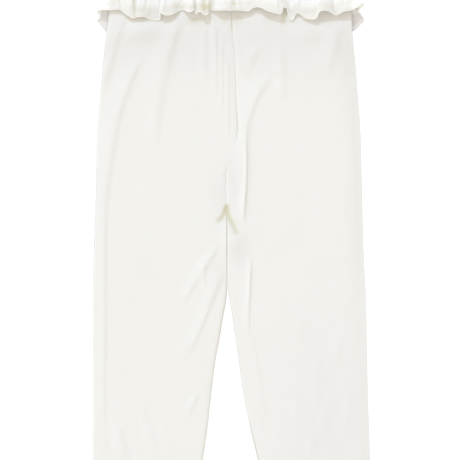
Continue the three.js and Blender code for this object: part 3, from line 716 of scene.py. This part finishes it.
# The seam is a flat loop round the tops of the legs. Both it and the edge are measured by their
# run from the slit, and the middles of the seam's two turns are its fifth and fourteenth steps.
seam_angles = np.linspace(0, np.pi, 9)
seam_x = np.concatenate([[SLIT_X[0]], SEAM_LEFT + SEAM_TURN * np.sin(seam_angles),
                         SEAM_RIGHT - SEAM_TURN * np.sin(seam_angles), [SLIT_X[1]]])
seam_high = np.concatenate([[SLIT_HIGH[0]], SEAM_HIGH + SEAM_TURN * np.cos(seam_angles),
                            SEAM_HIGH - SEAM_TURN * np.cos(seam_angles), [SLIT_HIGH[1]]])
seam_run = np.concatenate([[0], np.cumsum(np.hypot(np.diff(seam_x), np.diff(seam_high)))])
seam_left = seam_run[5]
seam_right = seam_run[14]
edge_run = np.concatenate([[0], np.cumsum(np.linalg.norm(np.diff(FRILL_EDGE, axis=0), axis=1))])


def frill_edge(t):
    """Points of the frill's edge at each share of its length, smoothly through the table."""
    ends = [2 * FRILL_EDGE[0] - FRILL_EDGE[1], 2 * FRILL_EDGE[-1] - FRILL_EDGE[-2]]
    path = np.vstack([ends[0], FRILL_EDGE, ends[1]])
    row = np.clip(np.floor(t * LAST).astype(int), 0, LAST - 1)
    p0, p1, p2, p3 = (path[row + k] for k in range(4))
    gap0, gap1, gap2 = (np.sqrt(np.linalg.norm(b - a, axis=1))[:, None]
                        for a, b in ((p0, p1), (p1, p2), (p2, p3)))
    start = ((p1 - p0) / gap0 - (p2 - p0) / (gap0 + gap1) + (p2 - p1) / gap1) * gap1
    end = ((p2 - p1) / gap1 - (p3 - p1) / (gap1 + gap2) + (p3 - p2) / gap2) * gap1
    s = (t * LAST - row)[:, None]
    return ((2 * s**3 - 3 * s**2 + 1) * p1 + (s**3 - 2 * s**2 + s) * start
            + (3 * s**2 - 2 * s**3) * p2 + (s**3 - s**2) * end)


def frill_hollow(x, down):
    """How deep the ruffles turn in at a point."""
    near = np.zeros_like(x)
    for at_x, at_down, half_x, half_down, deep in FRILL_HOLLOWS:
        away = ((x - at_x) / half_x) ** 2 + ((down - at_down) / half_down) ** 2
        near = np.maximum(near, deep * np.exp(-away))
    return near


def clear_of_legs(x, down, high, upper):
    """The height that keeps the frill above the legs, round their sides or below them."""
    leg_right = x < read(CENTRE_FRONT, "x", down)
    side = np.where(leg_right, -read(SIDES, "right", down), read(SIDES, "left", down))
    beyond = np.abs(x) - side
    on_x = np.where(beyond < 0, x, np.sign(x) * side)
    top = np.where(leg_right, front_top("right", on_x, down), front_top("left", on_x, down))
    near_side = np.exp(-((beyond / 5) ** 2))
    top = top + LEG_CLEAR + near_side
    bottom = back_underside(down) - BACK_CLEAR - 0.5 * near_side
    round_side = np.sqrt(1 - np.clip(beyond / 3, 0, 1) ** 2)
    half = (top + bottom) / 2
    over = np.maximum(high, half + (top - half) * round_side)
    below = np.minimum(high, half + (bottom - half) * round_side)
    return np.where(beyond < 3, np.where(upper, over, below), high)


def frill_middle(t, v):
    """The frill's middle surface: t along it from the slit, v from its seam to its edge."""
    run = np.interp(t, [0, LEFT_TURN, RIGHT_TURN, 1], [0, seam_left, seam_right, seam_run[-1]])
    upper = (t < LEFT_TURN) | (t > RIGHT_TURN)
    edge = frill_edge(t)
    from_x = np.interp(run, seam_run, seam_x)
    from_high = np.interp(run, seam_run, seam_high)
    x = from_x + (edge[:, 0] - from_x) * v
    down = BAND_DEEP + SEAM_GAP + (edge[:, 1] - BAND_DEEP - SEAM_GAP) * v
    lift = np.where(upper, smooth(v * 1.1), v)
    high = from_high + (edge[:, 2] - from_high) * lift
    high = high + np.where(upper, FRILL_BULGE, 0) * 4 * v * (1 - v)
    high = high - np.where(upper, RIM_DIP, 0) * np.exp(-(((v - 0.86) / 0.07) ** 2))
    gathers = np.sin(run * 0.66 + 0.9 * np.sin(run * 0.083)) + 0.4 * np.sin(run * 1.5 + 1)
    high = high + np.where(upper, 0.7, 0.15) * (1 + gathers) * (1 - v) ** 1.5 * smooth(v * 8)
    for top_x, edge_x, deep, half in FRILL_FOLDS:
        aside = (x - top_x - (edge_x - top_x) * v) / half
        fold = np.exp(-(aside**2)) - 0.35 * np.exp(-(((np.abs(aside) - 2) / 1.1) ** 2))
        high = high - np.where(upper, deep, 0) * fold * smooth(v * 4) * (1 - 0.75 * smooth(v * 4 - 3))
    high = high - np.where(upper, 1, 0) * frill_hollow(x, down)
    from_turn = np.minimum(np.abs(t - LEFT_TURN), np.abs(t - RIGHT_TURN)) * LAST
    high = high + (clear_of_legs(x, down, high, upper) - high) * smooth(from_turn / 1.3)
    return np.stack([x, LENGTH / 2 - down, np.maximum(high, FRILL_LOW)], axis=1)


def edge_share(u):
    """Turns an even share of the edge's length into its share of the table's rows."""
    return np.interp(u * edge_run[-1], edge_run, np.arange(LAST + 1) / LAST)


def frill_shape(u, v):
    grain = np.stack([u * edge_run[-1] * 0.0012, v * 0.045], axis=1)
    return frill_middle(edge_share(u), v), grain


def on_the_legs(x, down):
    """1 on the frill's front part, 0 on the part that is seen past the sides and under them."""
    inside = np.minimum(x - read(SIDES, "right", down), read(SIDES, "left", down) - x)
    return smooth((inside + 2) / 4) * smooth((84 - down) / 4)


def lit_through(x, down):
    """How much light comes through the frill: most near its edge, where it stands free."""
    return on_the_legs(x, down) * (1 + 1.3 * smooth((down - 58) / 10))


def painted_shade_on_tips(x, down):
    """How much painted shade a point gets on the tips beside the legs, which are seen from their
    inner side.
    """
    reached = np.minimum(1, lit_through(x, down))
    return smooth((down - 66) / 5) * (1 - reached) * np.where(x > 0, 1.0, 0.7)


def frill_painted_shade(x, down):
    """Warm painted shade on the frill: in a narrow fold or a hollow of the front part, and on a tip.
    """
    v = (down - BAND_DEEP) / FRILL_DEEP
    fold = 0.42 * frill_hollow(x, down)
    for top_x, edge_x, deep, half in FRILL_FOLDS:
        aside = (x - top_x - (edge_x - top_x) * v) / half
        fold = np.maximum(fold, max(0, deep - 0.7) * 0.6 * np.exp(-(aside**2)))
    fold = fold * np.minimum(1, lit_through(x, down)) * smooth(v * 3)
    low = smooth((down - 74) / 6)
    return fold + np.where(x > 0, 0.4, 0.15 + 0.35 * low) * painted_shade_on_tips(x, down)


# The strip runs down from its seam, which turns the grid's upper side under, so its faces are
# turned back.
frill = cloth_object("frill_cloth", FRILL_GRID, frill_shape)
frill_bm = bmesh.new()
frill_bm.from_mesh(frill.data)
bmesh.ops.reverse_faces(frill_bm, faces=frill_bm.faces)
frill_bm.to_mesh(frill.data)
frill_bm.free()
mark(frill, "thin", lit_through)
# deep and far hold painted shade: in the ruffles' folds and hollows, and on the tips past the legs.
mark(frill, "deep", frill_painted_shade)
mark(frill, "far", painted_shade_on_tips)
thicken(frill, FRILL_WALL, 0)
# Its tint is lighter than the leg panels' jersey: painted light, so that the frill, which lets some
# light through, looks as bright as the legs.
frill.data.materials.append(jersey("thin_jersey", (0.958, 0.955, 0.942), see_through=0.15))
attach(frill, "root")
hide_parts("frill")

# Rolled edge of the frill: a fine overlocked bead of white twisted thread, a little glossier
# than the jersey, along the strip's whole lower edge.
EDGE_BEAD = 0.55
BEAD_LOW = 0.05
BEAD_GRID = (1150, 8)

white_thread = Finish("white_thread")
thread_fuzz = white_thread.noise(1800, 3)
white_thread.fill(white_thread.shader, {
    "Base Color": white_thread.mix(thread_fuzz, (0.92, 0.915, 0.89, 1), (0.975, 0.97, 0.95, 1)),
    "Roughness": thread_fuzz * 0.2 + 0.55,
    "Normal": white_thread.node("Bump", {}, {
        "Strength": 0.4, "Distance": 0.00012, "Height": thread_fuzz}),
})


def bead_shape(u, v):
    """A lumpy round bead: u along the frill's edge and v around it."""
    t = edge_share(u)
    edge = frill_middle(t, np.ones_like(t))
    along = frill_middle(np.minimum(t + 0.0004, 1), np.ones_like(t))
    along -= frill_middle(np.maximum(t - 0.0004, 0), np.ones_like(t))
    along /= np.linalg.norm(along, axis=1)[:, None]
    side = np.cross(along, edge - frill_middle(t, np.full_like(t, 0.96)))
    side /= np.linalg.norm(side, axis=1)[:, None]
    out = np.cross(side, along)
    run = u * edge_run[-1]
    around = v * 2 * np.pi
    radius = EDGE_BEAD * (1 + 0.14 * np.sin(run * 2.6) + 0.1 * np.sin(run * 0.7 + 1))
    points = edge + (out * np.cos(around)[:, None] + side * np.sin(around)[:, None]) * radius[:, None]
    points[:, 2] = np.maximum(points[:, 2], BEAD_LOW)
    return points, np.stack([run * 0.001, v * 0.003], axis=1)


frill_bead = cloth_object("frill_rolled_edge", BEAD_GRID, bead_shape)
bead_bm = bmesh.new()
bead_bm.from_mesh(frill_bead.data)
bmesh.ops.remove_doubles(bead_bm, verts=bead_bm.verts, dist=0.000001)
bmesh.ops.holes_fill(bead_bm, edges=bead_bm.edges, sides=BEAD_GRID[1])
bmesh.ops.recalc_face_normals(bead_bm, faces=bead_bm.faces)
bead_bm.to_mesh(frill_bead.data)
bead_bm.free()
frill_bead.data.materials.append(white_thread.material)
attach(frill_bead, "root")

# Stitching in the same thread: two close rows round each leg's hem, and one row round the foot
# of the waistband. Each stitch is a small grain of thread that lies half sunk in the cloth.
STITCH = (0.00125, 0.00028, 0.00026)
STITCH_STEP = 3.1
HEM_ROWS = (LENGTH - 28, LENGTH - 23.5)
HEM_ENDS = (2.6, 2.2)
UNDERSIDE = 0.3
BAND_STITCHES = 150
BAND_ROW = 0.11


def stitches(name, places):
    """A piece of many stitches, each from its place, the way it runs and the way it faces."""
    bm = bmesh.new()
    for place, along, up in places:
        along, up = Vector(along).normalized(), Vector(up).normalized()
        turned = Matrix((along, up.cross(along), up)).transposed().to_4x4()
        placed = Matrix.Translation(Vector(place) * 0.001) @ turned
        bmesh.ops.create_uvsphere(bm, u_segments=6, v_segments=5, radius=1,
                                  matrix=placed @ Matrix.Diagonal((*STITCH, 1)))
    piece = new_object(name, bm)
    piece.data.materials.append(white_thread.material)
    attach(piece, "root")


def hem_places(leg):
    """Places of one leg's hem stitches, on its upper side and its underside."""
    places = []
    for down in HEM_ROWS:
        y = LENGTH / 2 - down
        at = np.array([down])
        ends = sorted([float(inner_edge(leg, CENTRE_FRONT, at)[0]), float(read(SIDES, leg, at)[0])])
        for x in np.arange(ends[0] + HEM_ENDS[0], ends[1] - HEM_ENDS[1], STITCH_STEP):
            high = front_top(leg, np.array([x - 1, x, x + 1]), np.full(3, down))
            slope = (high[2] - high[0]) / 2
            places.append(((x, y, high[1] + 0.03), (1, 0, slope), (-slope, 0, 1)))
            places.append(((x, y, UNDERSIDE), (1, 0, 0), (0, 0, 1)))
    return places


def band_places():
    """Places of the stitches round the waistband's foot. They run along the ring and face out."""
    places = []
    steps = np.linspace(0, 1, BAND_STITCHES + 1)[:-1]
    row = np.full(BAND_STITCHES, BAND_ROW)
    for foot, ahead, above in zip(band_shape(steps, row)[0],
                                  band_shape(steps + 0.0016, row)[0],
                                  band_shape(steps, row + 0.02)[0]):
        along = ahead - foot
        out = np.cross(along, above - foot)
        if out[2] * (foot[2] - band_middle) < 0:
            out = -out
        foot[2] = max(foot[2], UNDERSIDE + 0.2)
        places.append((foot, along, out))
    return places


stitches("right_hem_stitches", hem_places("right"))
stitches("left_hem_stitches", hem_places("left"))
stitches("waistband_stitches", band_places())
